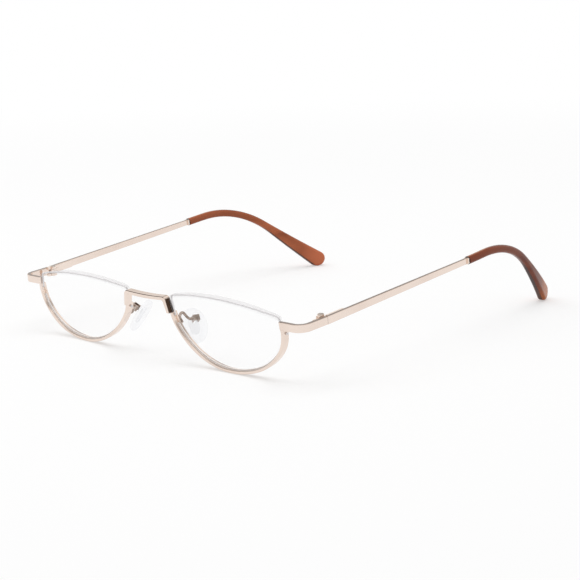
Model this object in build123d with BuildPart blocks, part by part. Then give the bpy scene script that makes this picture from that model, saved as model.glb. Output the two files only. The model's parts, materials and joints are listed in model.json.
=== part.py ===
"""Half eye reading glasses, standing open on the bottoms of the rims and the ends of the temple tips.

Millimetres and degrees. +Z is up, the front faces -Y, +X is the wearer's left.
The origin is on the floor, midway between the two sides and midway between front and back.
Every left piece is built in full, and its right twin is its mirror image across the YZ plane.
"""

from build123d import *
import math
import os

os.makedirs("parts", exist_ok=True)

# Whole frame
frame_depth = 147.9
cutter = 40.0
overrun = 6.0

# Lenses: a reading lens of plus power, bulging to the front
lens_centre_x = 33.0
lens_lean = 8.0
lens_wrap = 1.2
lens_front_radius = 110.0
lens_back_radius = 200.0
lens_thickness = 2.8
lens_bottom = (2.3, -16.65)
lens_temporal_radii = [32.45, 19.75, 11.45]
lens_temporal_turns = [19.0, 32.0, 47.5]
lens_nasal_radii = [27.55, 9.05]
lens_nasal_turns = [56.0, 21.0]
lens_temporal_side = 3.2
lens_nasal_side = 6.2
lens_top_peak = (-2.0, 7.15)
lens_nasal_corner = 2.0
lens_temporal_corner = 1.6

# Rims: a flat strip on edge, with a channel for the liner
rim_thickness = 0.9
rim_lip = 0.4
rim_back = 2.0
rim_round = 0.2
seat_gap = 0.05
braze_gap = 0.02
groove_behind_front = 0.85
channel_width = 0.9
channel_depth = 0.4
lens_groove_width = 0.6
lens_groove_depth = 0.6
liner_play = 0.03
liner_ridge = 0.4
ridge_reach = 0.4
liner_end = 2.4

# Nylon cords over the lens tops
cord_radius = 0.25
cord_play = 0.05
cord_inset = 0.3
cord_hole_drop = 1.3
cord_turn = 0.6
cord_bead_radius = 0.4
cord_bead_length = 0.3
cord_bead_gap = 0.15

# Bridge: one strip bent down at both ends, its legs leaning with the lenses
bridge_strip = 1.25
bridge_front = 0.45
bridge_depth = 2.4
bridge_leg_foot = (10.75, -0.92)
bridge_leg_head = (9.6, 4.5)
bridge_dip = 0.4
bridge_corner = 1.5
strip_round = 0.22

# Endpieces: a strip bent from the front into the line of the temple
endpiece_height = 2.5
endpiece_strip = 1.4
endpiece_outer_x = 66.5
endpiece_bend = 4.0
endpiece_front = 2.6
endpiece_root_x = 54.0
endpiece_up = 1.14
endpiece_run = 11.58
hinge_tilt = 4.0
quarter_turn = 90.0

# Hinges
stop_gap = 0.08
knuckle_radius = 1.1
knuckle_gap = 0.06
swing_gap = 0.3
front_knuckle = 0.85
temple_knuckle = 1.4
leaf_thickness = 0.75
leaf_height = 2.2
front_leaf = 4.5
temple_leaf = 9.0
screw_radius = 0.6
screw_fit = 0.04
thread_fit = 0.02
screw_head_radius = 0.95
screw_head = 0.3
screw_slot = 0.25

# Temples: a flat tapering strip with a collar and a core wire at its end
temple_front_thickness = 1.2
temple_front_height = 2.6
temple_end = (66.89, 83.5, 26.12)
temple_back_thickness = 0.95
temple_back_height = 2.0
collar_length = 0.8
collar_height = 2.3
collar_width = 1.9
core_radius = 0.55
core_fit = 0.05
core_short = 12.0
core_steps = 14

# Temple tips: sleeves that bend down behind the ear and widen to a paddle
tip_slope = 6.0
tip_straight = 8.7
tip_bend_radius = 43.8
tip_fall_slope = 36.4
tip_mid = (63.84, 117.09)
tip_end_x = 55.46
tip_neck_height = 2.7
tip_thickness = 2.4
tip_round = 1.1
paddle_thickness = 3.4
paddle_radius = 3.0
paddle_share = 0.35

# Nose pads on goose-neck arms
pad_centre = (12.7, 9.5, 10.95)
pad_splay = 25.0
pad_tilt = 33.0
pad_height = 12.2
pad_width = 9.0
pad_thickness = 2.2
pad_round = 0.9
pad_plate_height = 6.0
pad_plate_width = 3.2
pad_plate = 0.7
pad_plate_cover = 0.6
lug_width = 1.2
lug_radius = 0.75
lug_reach = 1.7
pad_screw_radius = 0.4
pad_screw_fit = 0.05
pad_screw_head_radius = 0.65
pad_screw_head = 0.35
box_play = 0.15
box_wall = 0.35
box_back = 0.4
box_half_height = 0.95
box_front = 0.85
arm_radius = 0.45
arm_root = (-20.9, -5.0)
arm_gap = 0.1
arm_bends = [(-0.7, 0.32, 1.27), (0.0, 0.72, 3.07), (1.1, 1.32, 2.07)]
arm_turn = 1.1
arm_back = 0.9
pad_up = 1.3


def turned(degrees):
    """Cosine and sine of an angle."""
    return math.cos(math.radians(degrees)), math.sin(math.radians(degrees))


def sag(s, t):
    """How far the lens front falls back at a point of its own plane."""
    return lens_front_radius - math.sqrt(lens_front_radius**2 - s**2 - t**2)


# The lens plane touches the middle of the lens front. The rim's lower front edge is on the floor.
lean_cos, lean_sin = turned(lens_lean)
wrap_cos, wrap_sin = turned(lens_wrap)
rim_drop = seat_gap + rim_thickness - lens_bottom[1]
lens_centre_z = rim_drop * lean_cos - (sag(lens_bottom[0], rim_drop) - rim_lip) * lean_sin
front_vertex_y = lens_top_peak[1] * lean_sin - sag(*lens_top_peak) * lean_cos - frame_depth / 2
lens_centre = Vector(lens_centre_x, front_vertex_y, lens_centre_z)
lens_right = Vector(wrap_cos, wrap_sin, 0)
lens_up = Vector(wrap_sin * lean_sin, -wrap_cos * lean_sin, lean_cos)
lens_ahead = lens_right.cross(lens_up)
lens_plane = Plane(origin=lens_centre, x_dir=lens_right, z_dir=lens_ahead)
lens_ball_centre = lens_centre - lens_ahead * lens_front_radius
lens_back_centre = lens_centre - lens_ahead * (lens_thickness + lens_back_radius)


def on_lens(s, t, behind):
    """The point of the lens plane (s, t) carried back to the ball that is behind the lens front."""
    reach = math.sqrt((lens_front_radius - behind) ** 2 - s**2 - t**2)
    return lens_ball_centre + lens_right * s + lens_up * t + lens_ahead * reach


def save(part, name):
    """Label a part and write it to its own file."""
    part.label = name
    export_step(part, "parts/" + name + ".step")


def save_pair(part, name):
    """Write a left part and its mirror image."""
    save(part, "left_" + name)
    with BuildPart() as twin:
        mirror(part, about=Plane.YZ)
    save(twin.part, "right_" + name)


def blank(plane, x_span, y_span, z_span):
    """A block between two corners, in the coordinates of a plane."""
    with BuildPart() as block:
        corner = plane.from_local_coords(Vector(x_span[0], y_span[0], z_span[0]))
        with Locations(Plane(origin=corner, x_dir=plane.x_dir, z_dir=plane.z_dir)):
            Box(x_span[1] - x_span[0], y_span[1] - y_span[0], z_span[1] - z_span[0],
                align=(Align.MIN, Align.MIN, Align.MIN))
    return block.part


def rod(plane, spot, radius, low, high):
    """A cylinder along a plane's normal, between two heights above the plane."""
    with BuildPart() as bar:
        foot = plane.from_local_coords(Vector(spot[0], spot[1], low))
        with Locations(Plane(origin=foot, x_dir=plane.x_dir, z_dir=plane.z_dir)):
            Cylinder(radius, high - low, align=(Align.CENTER, Align.CENTER, Align.MIN))
    return bar.part


def arc_chain(start, sense, radii, turns):
    """Tangent arcs from start, heading to +s (sense 1) or -s (sense -1) and curling upwards."""
    point, heading, lines = Vector(*start), Vector(sense, 0), []
    for radius, angle in zip(radii, turns):
        line = JernArc(start=point, tangent=heading, radius=radius, arc_size=sense * angle)
        point, heading = line @ 1, line % 1
        lines.append(line)
    return lines


with BuildSketch() as lens_outline:
    with BuildLine():
        temporal = arc_chain(lens_bottom, 1, lens_temporal_radii, lens_temporal_turns)
        nasal = arc_chain(lens_bottom, -1, lens_nasal_radii, lens_nasal_turns)
        side_out = Line(temporal[-1] @ 1, temporal[-1] @ 1 + (temporal[-1] % 1) * lens_temporal_side)
        side_in = Line(nasal[-1] @ 1, nasal[-1] @ 1 + (nasal[-1] % 1) * lens_nasal_side)
        ThreePointArc(side_in @ 1, lens_top_peak, side_out @ 1)
    make_face()
    fillet(lens_outline.vertices().sort_by_distance(side_in @ 1)[0], lens_nasal_corner)
    fillet(lens_outline.vertices().sort_by_distance(side_out @ 1)[0], lens_temporal_corner)


def lens_prism(amount):
    """The lens outline grown by amount, as a long prism along the lens's axis."""
    with BuildPart() as prism:
        with BuildSketch(lens_plane):
            offset(lens_outline.sketch, amount=amount)
        extrude(amount=cutter / 2, both=True)
    return prism.part


def lens_band(inner, outer, ahead, behind):
    """A band round the lens between two offsets of its outline and two balls at its front."""
    with BuildPart() as band:
        add(lens_prism(outer))
        add(lens_prism(inner), mode=Mode.SUBTRACT)
        with Locations(lens_ball_centre):
            Sphere(lens_front_radius + ahead, mode=Mode.INTERSECT)
            Sphere(lens_front_radius - behind, mode=Mode.SUBTRACT)
    return band.part


def lens_area(corners):
    """A prism along the lens's axis over a polygon of the lens plane."""
    with BuildPart() as area:
        with BuildSketch(lens_plane):
            with BuildLine():
                Polyline(*corners, close=True)
            make_face()
        extrude(amount=cutter / 2, both=True)
    return area.part


# Endpiece frame: x to the left, y back along the strip, z up its height
tilt_cos, tilt_sin = turned(hinge_tilt)
endpiece_z = lens_centre_z + endpiece_up
endpiece_y = front_vertex_y + endpiece_front
strip_up = Vector(0, -tilt_sin, tilt_cos)
strip_back = Vector(0, tilt_cos, tilt_sin)
endpiece_plane = Plane(origin=(0, endpiece_y, endpiece_z), x_dir=(1, 0, 0), z_dir=strip_up)
hinge_x = endpiece_outer_x - endpiece_strip - swing_gap - knuckle_radius
hinge_centre = endpiece_plane.from_local_coords(Vector(hinge_x, endpiece_run, 0))
hinge_plane = Plane(origin=hinge_centre, x_dir=(1, 0, 0), z_dir=strip_up)

# Bridge frame: x to the left, y up along the lean, z ahead
bridge_ahead = Vector(0, -lean_cos, -lean_sin)
bridge_plane = Plane(origin=(0, front_vertex_y + bridge_front, lens_centre_z), x_dir=(1, 0, 0),
                     z_dir=bridge_ahead)
foot_x, foot_t = bridge_leg_foot
head_x, head_t = bridge_leg_head
foot_in = foot_x - bridge_strip
head_in = head_x - bridge_strip
bar_in = head_t - bridge_strip

# The rim ends below the bridge leg and below the endpiece, and the liner ends below the cord holes
endpiece_under = -endpiece_height / 2 - braze_gap
temporal_hole_t = (endpiece_plane.offset(endpiece_under).origin - lens_centre).dot(lens_up) - cord_hole_drop
nasal_hole_t = foot_t - cord_hole_drop
liner_area = lens_area([(-cutter, nasal_hole_t - liner_end), (0, nasal_hole_t - liner_end),
                        (0, temporal_hole_t - liner_end), (cutter, temporal_hole_t - liner_end),
                        (cutter, -cutter), (-cutter, -cutter)])

# Cord: along the lens's groove over the top, down both sides and out through the rim
with BuildSketch() as cord_outline:
    offset(lens_outline.sketch, amount=-cord_inset)


def cord_points():
    """Points along the whole cord, from the outside of the temporal hole to the nasal one."""
    run = []
    for edge in cord_outline.edges():
        steps = math.ceil(edge.length / (cord_turn if edge.length < cord_turn * 4 else cord_turn * 5))
        run += [edge @ ((i + 0.5) / steps) for i in range(steps)]
    run = [p for p in run if p.Y > (temporal_hole_t if p.X > 0 else nasal_hole_t) + cord_turn * 2]
    run.sort(key=lambda p: math.atan2(p.Y + rim_drop / 4, p.X))
    lean_in = [(run[1].X - run[0].X) / (run[1].Y - run[0].Y), (run[-2].X - run[-1].X) / (run[-2].Y - run[-1].Y)]
    bend = cord_turn * (1 - math.sqrt(0.5))
    flat = [(p.X, p.Y) for p in run]
    for side, hole_t, slope, spot in [(1, temporal_hole_t, lean_in[0], run[0]),
                                      (-1, nasal_hole_t, lean_in[1], run[-1])]:
        top = (spot.X + (hole_t + cord_turn - spot.Y) * slope, hole_t + cord_turn)
        out = cord_inset + seat_gap + rim_thickness + cord_bead_gap
        turn = [top, (top[0] + side * bend, hole_t + bend), (top[0] + side * cord_turn, hole_t),
                (top[0] + side * (cord_turn + out) / 2, hole_t), (top[0] + side * out, hole_t)]
        flat = turn[::-1] + flat if side > 0 else flat + turn
    return [on_lens(s, t, groove_behind_front) for s, t in flat]


with BuildLine() as cord_path:
    Spline(*cord_points())


def swept(path, radius):
    """A round wire along a path."""
    with BuildPart() as wire:
        with BuildSketch(Plane(origin=path @ 0, z_dir=path % 0)):
            Circle(radius)
        sweep(path=path, is_frenet=True)
    return wire.part


cord_line = cord_path.line
cord_ends = [Plane(origin=cord_line @ 0, z_dir=(cord_line % 0) * -1),
             Plane(origin=cord_line @ 1, z_dir=cord_line % 1)]

# The holes and the melted beads follow the way that the cord leaves the rim
with BuildPart() as cord_holes:
    with Locations(*cord_ends):
        Cylinder(cord_radius + cord_play, rim_thickness * 3)

with BuildPart() as left_lens_cord:
    add(swept(cord_line, cord_radius))
    with Locations(*cord_ends):
        Cylinder(cord_bead_radius, cord_bead_length, align=(Align.CENTER, Align.CENTER, Align.MIN))

with BuildPart() as left_lens:
    add(lens_prism(0))
    with Locations(lens_ball_centre):
        Sphere(lens_front_radius, mode=Mode.INTERSECT)
    with Locations(lens_back_centre):
        Sphere(lens_back_radius, mode=Mode.SUBTRACT)
    add(lens_band(-lens_groove_depth, overrun, -groove_behind_front + lens_groove_width / 2,
                  groove_behind_front + lens_groove_width / 2), mode=Mode.SUBTRACT)

with BuildPart() as left_rim:
    add(lens_band(seat_gap, seat_gap + rim_thickness, rim_lip, rim_back))
    ring_faces = left_rim.faces().filter_by(lambda f: len(f.inner_wires()) > 0)
    fillet([edge for face in ring_faces for edge in face.outer_wire().edges()], rim_round)
    add(blank(bridge_plane, (-lens_centre_x, lens_centre_x), (foot_t - braze_gap, cutter), (-cutter, cutter)),
        mode=Mode.SUBTRACT)
    add(blank(endpiece_plane, (lens_centre_x, lens_centre_x + cutter), (-cutter, cutter), (endpiece_under, cutter)),
        mode=Mode.SUBTRACT)
    add(lens_band(-seat_gap, seat_gap + channel_depth, channel_width / 2 - groove_behind_front,
                  channel_width / 2 + groove_behind_front), mode=Mode.SUBTRACT)
    add(cord_holes.part, mode=Mode.SUBTRACT)

with BuildPart() as left_rim_liner:
    add(lens_band(seat_gap + liner_play, seat_gap + channel_depth - liner_play,
                  channel_width / 2 - liner_play - groove_behind_front,
                  channel_width / 2 - liner_play + groove_behind_front))
    add(lens_band(-ridge_reach, seat_gap + channel_depth / 2, liner_ridge / 2 - groove_behind_front,
                  liner_ridge / 2 + groove_behind_front))
    add(liner_area, mode=Mode.INTERSECT)

with BuildPart() as bridge:
    with BuildSketch(bridge_plane):
        with BuildLine():
            Polyline((-foot_x, foot_t), (-head_x, head_t))
            ThreePointArc((-head_x, head_t), (0, head_t - bridge_dip), (head_x, head_t))
            Polyline((head_x, head_t), (foot_x, foot_t), (foot_in, foot_t), (head_in, bar_in))
            ThreePointArc((head_in, bar_in), (0, bar_in - bridge_dip), (-head_in, bar_in))
            Polyline((-head_in, bar_in), (-foot_in, foot_t), (-foot_x, foot_t))
        make_face()
    extrude(amount=-bridge_depth)
    uprights = bridge.edges().filter_by(Axis((0, 0, 0), bridge_ahead))
    fillet(uprights.filter_by(lambda e: abs(abs(e.center().X) - head_in) < seat_gap), bridge_corner / 2)
    fillet(uprights.filter_by(lambda e: abs(abs(e.center().X) - head_x) < seat_gap), bridge_corner)
    across = bridge.faces().group_by(Axis((0, 0, 0), bridge_ahead))
    long_edges = across[0].edges() + across[-1].edges()
    fillet(long_edges.filter_by(lambda e: bridge_plane.to_local_coords(e.center()).Y > foot_t + seat_gap), strip_round)


lens_room = lens_prism(seat_gap)

# Bridge legs are flush against the lens's edge
with BuildPart() as seated_bridge:
    add(bridge.part)
    add(lens_room, mode=Mode.SUBTRACT)
    mirror(lens_room, about=Plane.YZ, mode=Mode.SUBTRACT)

# Endpiece
outer_bend_x = endpiece_outer_x - endpiece_bend
inner_bend = endpiece_bend - endpiece_strip
inner_x = endpiece_outer_x - endpiece_strip
end_back = endpiece_run - stop_gap / 2
with BuildPart() as left_endpiece:
    with BuildSketch(endpiece_plane):
        with BuildLine():
            front_run = Line((endpiece_root_x, 0), (outer_bend_x, 0))
            outer_arc = JernArc(start=front_run @ 1, tangent=(1, 0), radius=endpiece_bend, arc_size=quarter_turn)
            outer_side = Line(outer_arc @ 1, (endpiece_outer_x, end_back))
            end_line = Line(outer_side @ 1, (inner_x, end_back))
            inner_side = Line(end_line @ 1, (inner_x, endpiece_bend))
            inner_arc = JernArc(start=inner_side @ 1, tangent=(0, -1), radius=inner_bend, arc_size=-quarter_turn)
            inner_run = Line(inner_arc @ 1, (endpiece_root_x, endpiece_strip))
            Line(inner_run @ 1, front_run @ 0)
        make_face()
    extrude(amount=endpiece_height / 2, both=True)
    fillet(left_endpiece.faces().group_by(Axis((0, 0, 0), strip_up))[-1].edges()
           + left_endpiece.faces().group_by(Axis((0, 0, 0), strip_up))[0].edges(), strip_round)
    add(lens_room, mode=Mode.SUBTRACT)

# Front hinge: a leaf brazed inside the endpiece, carrying the top and bottom knuckles
leaf_in = inner_x - hinge_x - leaf_thickness
leaf_out = inner_x - hinge_x - braze_gap
leaf_start = knuckle_radius + swing_gap
middle_top = temple_knuckle / 2
band_low = middle_top + knuckle_gap
band_high = band_low + front_knuckle
with BuildPart() as left_front_hinge:
    add(blank(hinge_plane, (leaf_in, leaf_out), (-front_leaf, -leaf_start), (-leaf_height / 2, leaf_height / 2)))
    for low, high in [(band_low, band_high), (-band_high, -band_low)]:
        add(rod(hinge_plane, (0, 0), knuckle_radius, low, high))
        add(blank(hinge_plane, (0, leaf_out), (-leaf_start - leaf_thickness, 0), (low, high)))
    add(rod(hinge_plane, (0, 0), screw_radius + screw_fit, 0, band_high), mode=Mode.SUBTRACT)
    add(rod(hinge_plane, (0, 0), screw_radius + thread_fit, -band_high, 0), mode=Mode.SUBTRACT)

with BuildPart() as left_hinge_screw:
    add(rod(hinge_plane, (0, 0), screw_radius, -band_high, band_high + screw_head))
    add(rod(hinge_plane, (0, 0), screw_head_radius, band_high + braze_gap, band_high + screw_head))
    add(blank(hinge_plane, (-screw_head_radius, screw_head_radius), (-screw_slot / 2, screw_slot / 2),
              (band_high + screw_head / 2, band_high + screw_head * 2)), mode=Mode.SUBTRACT)

# Temple: tapers from the hinge to the collar, in one straight line
temple_start = hinge_plane.from_local_coords(
    Vector(endpiece_outer_x - temple_front_thickness / 2 - hinge_x, stop_gap / 2, 0))
temple_stop = Vector(temple_end[0], temple_end[1] + front_vertex_y, temple_end[2])
temple_way = (temple_stop - temple_start).normalized()
temple_side = Vector(temple_way.Y, -temple_way.X, 0).normalized()
collar_plane = Plane(origin=temple_stop - temple_way * seat_gap, x_dir=temple_side, z_dir=temple_way)

# Tip centreline: an arc in plan; a rise, a bend and a fall in the side view
slope_cos, slope_sin = turned(tip_slope)
fall_cos, fall_sin = turned(tip_fall_slope)
bend_start = (temple_stop.Y + tip_straight * slope_cos, temple_stop.Z + tip_straight * slope_sin)
bend_centre = (bend_start[0] + tip_bend_radius * slope_sin, bend_start[1] - tip_bend_radius * slope_cos)
bend_end = (bend_centre[0] + tip_bend_radius * fall_sin, bend_centre[1] + tip_bend_radius * fall_cos)
tip_fall = (bend_end[1] - paddle_radius) / fall_sin
tip_foot = (bend_end[0] + tip_fall * fall_cos, paddle_radius)
plan_arc_middle = (tip_mid[0], tip_mid[1] + front_vertex_y)
with BuildLine() as tip_plan:
    ThreePointArc((temple_stop.X, temple_stop.Y), plan_arc_middle, (tip_end_x, tip_foot[0]))
plan_centre = tip_plan.edge().arc_center
plan_radius = tip_plan.edge().radius


def tip_point(y):
    """The point of the tip's centreline at a place along Y."""
    x = plan_centre.X + math.sqrt(plan_radius**2 - (y - plan_centre.Y) ** 2)
    if y < bend_start[0]:
        return Vector(x, y, bend_start[1] - (bend_start[0] - y) * slope_sin / slope_cos)
    if y < bend_end[0]:
        return Vector(x, y, bend_centre[1] + math.sqrt(tip_bend_radius**2 - (y - bend_centre[0]) ** 2))
    return Vector(x, y, bend_end[1] - (y - bend_end[0]) * fall_sin / fall_cos)


# Core wire's centreline, from the collar towards the paddle
core_first = temple_stop.Y - collar_length / 2
core_run = tip_foot[0] - core_short - core_first
with BuildLine() as core_line:
    Spline(*[tip_point(core_first + core_run * i / core_steps) for i in range(core_steps + 1)])


with BuildPart() as left_temple:
    with BuildSketch(Plane(origin=temple_start - temple_way * endpiece_strip, x_dir=temple_side, z_dir=temple_way)):
        Rectangle(temple_front_thickness, temple_front_height)
    with BuildSketch(collar_plane):
        Rectangle(temple_back_thickness, temple_back_height)
    loft()
    fillet(left_temple.edges().sort_by(SortBy.LENGTH)[-4:], strip_round)
    split(bisect_by=Plane(origin=temple_start, z_dir=strip_back), keep=Keep.TOP)
    with BuildSketch(collar_plane):
        RectangleRounded(collar_width, collar_height, collar_width / 3)
    extrude(amount=-collar_length)
    add(swept(core_line.line, core_radius))

# Temple hinge: a leaf inside the temple, carrying the middle knuckle
temple_plane = Plane(origin=temple_start, x_dir=temple_side, z_dir=temple_side.cross(temple_way))
temple_face = -temple_front_thickness / 2
with BuildPart() as left_temple_hinge:
    add(blank(temple_plane, (temple_face - leaf_thickness - (endpiece_strip - temple_front_thickness),
                             temple_face - braze_gap),
              (leaf_start, temple_leaf), (-leaf_height / 2, leaf_height / 2)))
    add(rod(hinge_plane, (0, 0), knuckle_radius, -middle_top, middle_top))
    add(blank(hinge_plane, (0, leaf_out), (0, leaf_start + leaf_thickness), (-middle_top, middle_top)))
    add(rod(hinge_plane, (0, 0), screw_radius + screw_fit, -middle_top, middle_top), mode=Mode.SUBTRACT)

# Tip sleeve: a side outline crossed with a curved band in plan, all its long edges rounded
neck = tip_neck_height / 2
foot = Vector(*tip_foot)
hub = Vector(*bend_centre)
spread = foot - hub
spread_angle = math.atan2(spread.Y, spread.X)
top_angle = spread_angle + math.acos((tip_bend_radius + neck - paddle_radius) / spread.length)
under_angle = spread_angle + math.acos((tip_bend_radius - neck + paddle_radius) / spread.length)
rise_angle = math.radians(90 + tip_slope)


def polar(centre, radius, angle):
    """A point of the side view at a distance and angle from a centre."""
    return (centre.X + radius * math.cos(angle), centre.Y + radius * math.sin(angle))


with BuildPart() as sleeve_band:
    with BuildSketch():
        with BuildLine():
            start_angle = math.asin((temple_stop.Y - plan_centre.Y) / plan_radius)
            end_angle = math.asin((tip_foot[0] + paddle_radius * 2 - plan_centre.Y) / plan_radius)
            first = start_angle - paddle_radius / plan_radius
            middle = (first + end_angle) / 2
            thin, thick = tip_thickness / 2, paddle_thickness / 2
            between = thin + (thick - thin) * paddle_share
            band_out = ThreePointArc(polar(plan_centre, plan_radius + thin, first),
                                     polar(plan_centre, plan_radius + between, middle),
                                     polar(plan_centre, plan_radius + thick, end_angle))
            band_in = ThreePointArc(polar(plan_centre, plan_radius - thin, first),
                                    polar(plan_centre, plan_radius - between, middle),
                                    polar(plan_centre, plan_radius - thick, end_angle))
            Line(band_out @ 0, band_in @ 0)
            Line(band_out @ 1, band_in @ 1)
        make_face()
    extrude(amount=cutter)

with BuildPart() as left_temple_tip:
    with BuildSketch(Plane.YZ):
        with BuildLine():
            stop_point = Vector(temple_stop.Y, temple_stop.Z)
            top_start = Line(polar(stop_point, neck, rise_angle), polar(hub, tip_bend_radius + neck, rise_angle))
            top_arc = ThreePointArc(top_start @ 1,
                                    polar(hub, tip_bend_radius + neck, (rise_angle + top_angle) / 2),
                                    polar(hub, tip_bend_radius + neck, top_angle))
            top_fall = Line(top_arc @ 1, polar(foot, paddle_radius, top_angle))
            cap = ThreePointArc(top_fall @ 1,
                                polar(foot, paddle_radius, (top_angle + under_angle - math.pi) / 2),
                                polar(foot, paddle_radius, under_angle - math.pi))
            under_fall = Line(cap @ 1, polar(hub, tip_bend_radius - neck, under_angle))
            under_arc = ThreePointArc(under_fall @ 1,
                                      polar(hub, tip_bend_radius - neck, (rise_angle + under_angle) / 2),
                                      polar(hub, tip_bend_radius - neck, rise_angle))
            under_start = Line(under_arc @ 1, polar(stop_point, -neck, rise_angle))
            Line(under_start @ 1, top_start @ 0)
        make_face()
    extrude(amount=cutter * 2)
    add(sleeve_band.part, mode=Mode.INTERSECT)
    start_face = left_temple_tip.faces().sort_by(Axis.Y)[0]
    kept = start_face.edges()
    rims = left_temple_tip.edges().filter_by(lambda e: all((e.center() - k.center()).length > seat_gap for k in kept))
    fillet(rims, tip_round)
    add(swept(core_line.line, core_radius + core_fit), mode=Mode.SUBTRACT)

# Nose pads: x to the front across the pad, y up it, z out of its face to the nose
splay_cos, splay_sin = turned(pad_splay)
pitch_cos, pitch_sin = turned(pad_tilt)
pad_out = Vector(-pitch_cos * splay_cos, pitch_cos * splay_sin, -pitch_sin)
pad_across = Vector(-splay_sin, -splay_cos, 0)
pad_middle = Vector(pad_centre[0], pad_centre[1] + front_vertex_y, pad_centre[2])
pad_plane = Plane(origin=pad_middle, x_dir=pad_across, z_dir=pad_out)
pad_back = -pad_thickness / 2
lug_z = pad_back - lug_reach
lug_half = lug_width / 2
slot_half = lug_half + box_play
box_half = slot_half + box_wall
slot_floor = lug_z - lug_radius - swing_gap
lug_plane = Plane(origin=pad_plane.from_local_coords(Vector(0, pad_up, lug_z)), x_dir=pad_out, z_dir=pad_across)

with BuildPart() as left_pad_core:
    with BuildSketch(pad_plane.offset(pad_back + pad_plate_cover)):
        RectangleRounded(pad_plate_width, pad_plate_height, pad_plate_width / 2.1)
    extrude(amount=pad_plate)
    add(blank(pad_plane, (-lug_half, lug_half), (pad_up - lug_radius, pad_up + lug_radius),
              (lug_z, pad_back + pad_plate_cover)))
    add(rod(lug_plane, (0, 0), lug_radius, -lug_half, lug_half))
    add(rod(lug_plane, (0, 0), pad_screw_radius + pad_screw_fit, -lug_half, lug_half), mode=Mode.SUBTRACT)

with BuildPart() as left_nose_pad:
    with BuildSketch(pad_plane.offset(pad_back)):
        Ellipse(pad_width / 2, pad_height / 2)
    extrude(amount=pad_thickness)
    fillet(left_nose_pad.edges(), pad_round)
    add(left_pad_core.part, mode=Mode.SUBTRACT)

with BuildPart() as left_pad_box:
    add(blank(pad_plane, (-box_half, box_half), (pad_up - box_half_height, pad_up + box_half_height),
              (slot_floor - box_back, lug_z + box_front)))
    add(blank(pad_plane, (-slot_half, slot_half), (-pad_height, pad_height),
              (slot_floor, lug_z + box_front * 2)), mode=Mode.SUBTRACT)
    add(rod(lug_plane, (0, 0), pad_screw_radius + pad_screw_fit, -box_half * 2, 0), mode=Mode.SUBTRACT)
    add(rod(lug_plane, (0, 0), pad_screw_radius + thread_fit, 0, box_half * 2), mode=Mode.SUBTRACT)

with BuildPart() as left_pad_screw:
    add(rod(lug_plane, (0, 0), pad_screw_radius, -box_half - pad_screw_head, box_half))
    add(rod(lug_plane, (0, 0), pad_screw_head_radius, -box_half - pad_screw_head, -box_half - braze_gap))
    add(blank(lug_plane, (-screw_slot / 2, screw_slot / 2), (-pad_screw_head_radius, pad_screw_head_radius),
              (-box_half - pad_screw_head * 2, -box_half - pad_screw_head / 2)), mode=Mode.SUBTRACT)

# Goose-neck arm: from the back edge of the rim, up and over to the front wall of the box
arm_start = on_lens(arm_root[0], arm_root[1], rim_back + arm_gap)
arm_end = pad_plane.from_local_coords(Vector(box_half + arm_gap, pad_up, lug_z - arm_back))
bends = [arm_start + Vector(*step) for step in arm_bends]
with BuildLine() as arm_line:
    Spline(arm_start, arm_start - lens_ahead * arm_radius, *bends, arm_end + pad_across * arm_turn,
           arm_end)
with BuildPart() as left_pad_arm:
    add(swept(arm_line.line, arm_radius))

save(seated_bridge.part, "bridge")
for piece, name in [(left_lens, "lens"), (left_rim, "rim"), (left_rim_liner, "rim_liner"),
                    (left_lens_cord, "lens_cord"), (left_endpiece, "endpiece"),
                    (left_front_hinge, "front_hinge"), (left_hinge_screw, "hinge_screw"),
                    (left_temple, "temple"), (left_temple_hinge, "temple_hinge"),
                    (left_temple_tip, "temple_tip"), (left_pad_arm, "pad_arm"), (left_pad_box, "pad_box"),
                    (left_pad_screw, "pad_screw"), (left_pad_core, "pad_core"), (left_nose_pad, "nose_pad")]:
    save_pair(piece.part, name)
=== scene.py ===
"""Half eye reading glasses on a plain pale floor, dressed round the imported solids.

Metres, Z up. The front faces -Y and the wearer's left is +X.
"""

import json
import logging
import math
from dataclasses import dataclass, field, replace
from enum import Enum
from typing import Optional

import bpy
from mathutils import Matrix, Vector

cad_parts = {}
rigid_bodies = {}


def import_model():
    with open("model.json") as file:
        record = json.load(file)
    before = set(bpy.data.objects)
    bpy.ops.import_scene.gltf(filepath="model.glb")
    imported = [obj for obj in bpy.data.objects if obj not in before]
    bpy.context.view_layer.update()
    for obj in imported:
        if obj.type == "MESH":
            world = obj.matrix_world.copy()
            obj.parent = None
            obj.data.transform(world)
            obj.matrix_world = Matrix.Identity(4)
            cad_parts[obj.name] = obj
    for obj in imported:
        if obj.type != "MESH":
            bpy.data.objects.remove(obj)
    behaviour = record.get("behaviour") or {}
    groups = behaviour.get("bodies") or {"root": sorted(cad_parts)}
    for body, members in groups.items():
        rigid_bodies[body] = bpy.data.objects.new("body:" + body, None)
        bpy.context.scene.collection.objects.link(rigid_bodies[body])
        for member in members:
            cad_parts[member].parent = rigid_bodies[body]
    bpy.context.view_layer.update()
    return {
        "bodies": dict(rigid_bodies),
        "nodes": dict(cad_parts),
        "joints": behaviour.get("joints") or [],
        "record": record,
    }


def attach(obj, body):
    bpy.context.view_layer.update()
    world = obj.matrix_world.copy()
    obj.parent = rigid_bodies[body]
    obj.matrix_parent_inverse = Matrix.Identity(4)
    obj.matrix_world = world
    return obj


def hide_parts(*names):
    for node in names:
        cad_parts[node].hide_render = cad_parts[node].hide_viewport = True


LOG = logging.getLogger("glasses")
PICTURE_SIDE = 580
SENSOR = 36.0
SIDES = ("left", "right")
REFRACTION = 1.5
BUMP_STRENGTH = 0.3
MILLIMETRES = 1000.0

Triple = tuple[float, float, float]
Colour = Triple


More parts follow.
